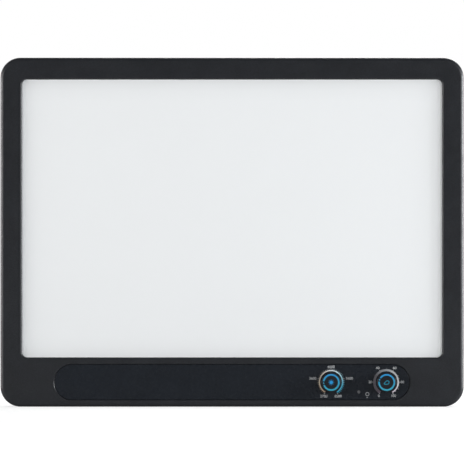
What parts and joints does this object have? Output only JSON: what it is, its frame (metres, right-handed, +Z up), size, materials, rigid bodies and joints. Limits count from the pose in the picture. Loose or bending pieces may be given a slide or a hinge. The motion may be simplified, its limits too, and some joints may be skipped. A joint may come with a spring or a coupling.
{
  "type": "led panel light",
  "caption": "Flat desktop LED panel light: edge-lit diffuser in a dark bezel, rotary colour and brightness dials on the chin, vented rear pod with stand threads.",
  "frame": {"origin": "mouth of the rear stand thread, at the middle of the rear pod's back face", "axes": "+X to the right seen from the front, +Y to the back along the rear stand thread, +Z up the panel; the lit face looks along -Y"},
  "size_m": [0.32, 0.0413, 0.241],
  "materials": {
    "housing_plastic": "satin charcoal moulded plastic with a fine texture",
    "strip_plastic": "smooth blue-black printed strip",
    "adhesive": "acrylic foam tape",
    "foam": "black foam seal",
    "opal_acrylic": "matt opal white acrylic",
    "clear_acrylic": "clear acrylic",
    "white_film": "matt white reflector film",
    "sheet_aluminium": "pressed aluminium sheet",
    "led_board": "white solder mask",
    "warm_led": "amber phosphor",
    "cool_led": "yellow phosphor",
    "plated_steel": "zinc plated",
    "black_steel": "black oxide",
    "brass": "turned brass",
    "circuit_board": "green solder mask",
    "component_black": "black moulded packages",
    "component_metal": "tinned metal",
    "connector_ivory": "ivory nylon",
    "switch_plastic": "black moulded switch",
    "shaft_aluminium": "turned aluminium",
    "knob_plastic": "fluted black plastic",
    "dial_blue": "blue translucent inlay",
    "lead_red": "red lead sheath",
    "lead_yellow": "yellow lead sheath",
    "ribbon_white": "white flat flexible cable"
  },
  "bodies": {
    "panel": {"front_bezel": "housing_plastic", "control_strip": "strip_plastic", "strip_adhesive": "adhesive", "diffuser_seal": "foam", "diffuser_panel": "opal_acrylic", "prism_film": "clear_acrylic", "light_guide": "clear_acrylic", "reflector_sheet": "white_film", "back_tray": "sheet_aluminium", "led_board_top": "led_board", "led_board_bottom": "led_board", "warm_leds": "warm_led", "cool_leds": "cool_led", "thermal_tapes": "adhesive", "rear_cover": "housing_plastic", "stand_plate": "plated_steel", "rear_stand_insert": "brass", "bottom_stand_insert": "brass", "driver_board": "circuit_board", "driver_inductors": "component_black", "driver_capacitors": "component_metal", "driver_chips": "component_black", "wireless_module": "component_metal", "lead_sockets": "connector_ivory", "ribbon_sockets": "connector_ivory", "usb_c_shell": "component_metal", "usb_c_tongue": "component_black", "switch_body": "switch_plastic", "control_board": "circuit_board", "cct_pot": "component_metal", "brightness_pot": "component_metal", "status_led": "cool_led", "status_lens": "opal_acrylic", "led_lead_top": "lead_red", "led_lead_bottom": "lead_yellow", "control_ribbon": "ribbon_white", "cover_screws": "black_steel", "tray_screws": "plated_steel", "plate_screws": "plated_steel", "driver_screws": "plated_steel", "control_screws": "plated_steel"},
    "cct_dial": {"cct_shaft": "shaft_aluminium", "cct_knob": "knob_plastic", "cct_ring": "dial_blue"},
    "brightness_dial": {"brightness_shaft": "shaft_aluminium", "brightness_knob": "knob_plastic", "brightness_ring": "dial_blue"},
    "rocker": {"power_rocker": "switch_plastic"}
  },
  "joints": [
    {"name": "cct_dial_turn", "type": "hinge", "parent": "panel", "child": "cct_dial", "pos_m": [0.0683, -0.035, -0.10345], "axis": [0, 1, 0], "range_deg": [-49, 241]},
    {"name": "brightness_dial_turn", "type": "hinge", "parent": "panel", "child": "brightness_dial", "pos_m": [0.1065, -0.035, -0.10345], "axis": [0, 1, 0], "range_deg": [-75, 215]},
    {"name": "power_rocker_tip", "type": "hinge", "parent": "panel", "child": "rocker", "pos_m": [-0.041, -0.01, -0.0474], "axis": [0, 1, 0], "range_deg": [0, 20]}
  ]
}
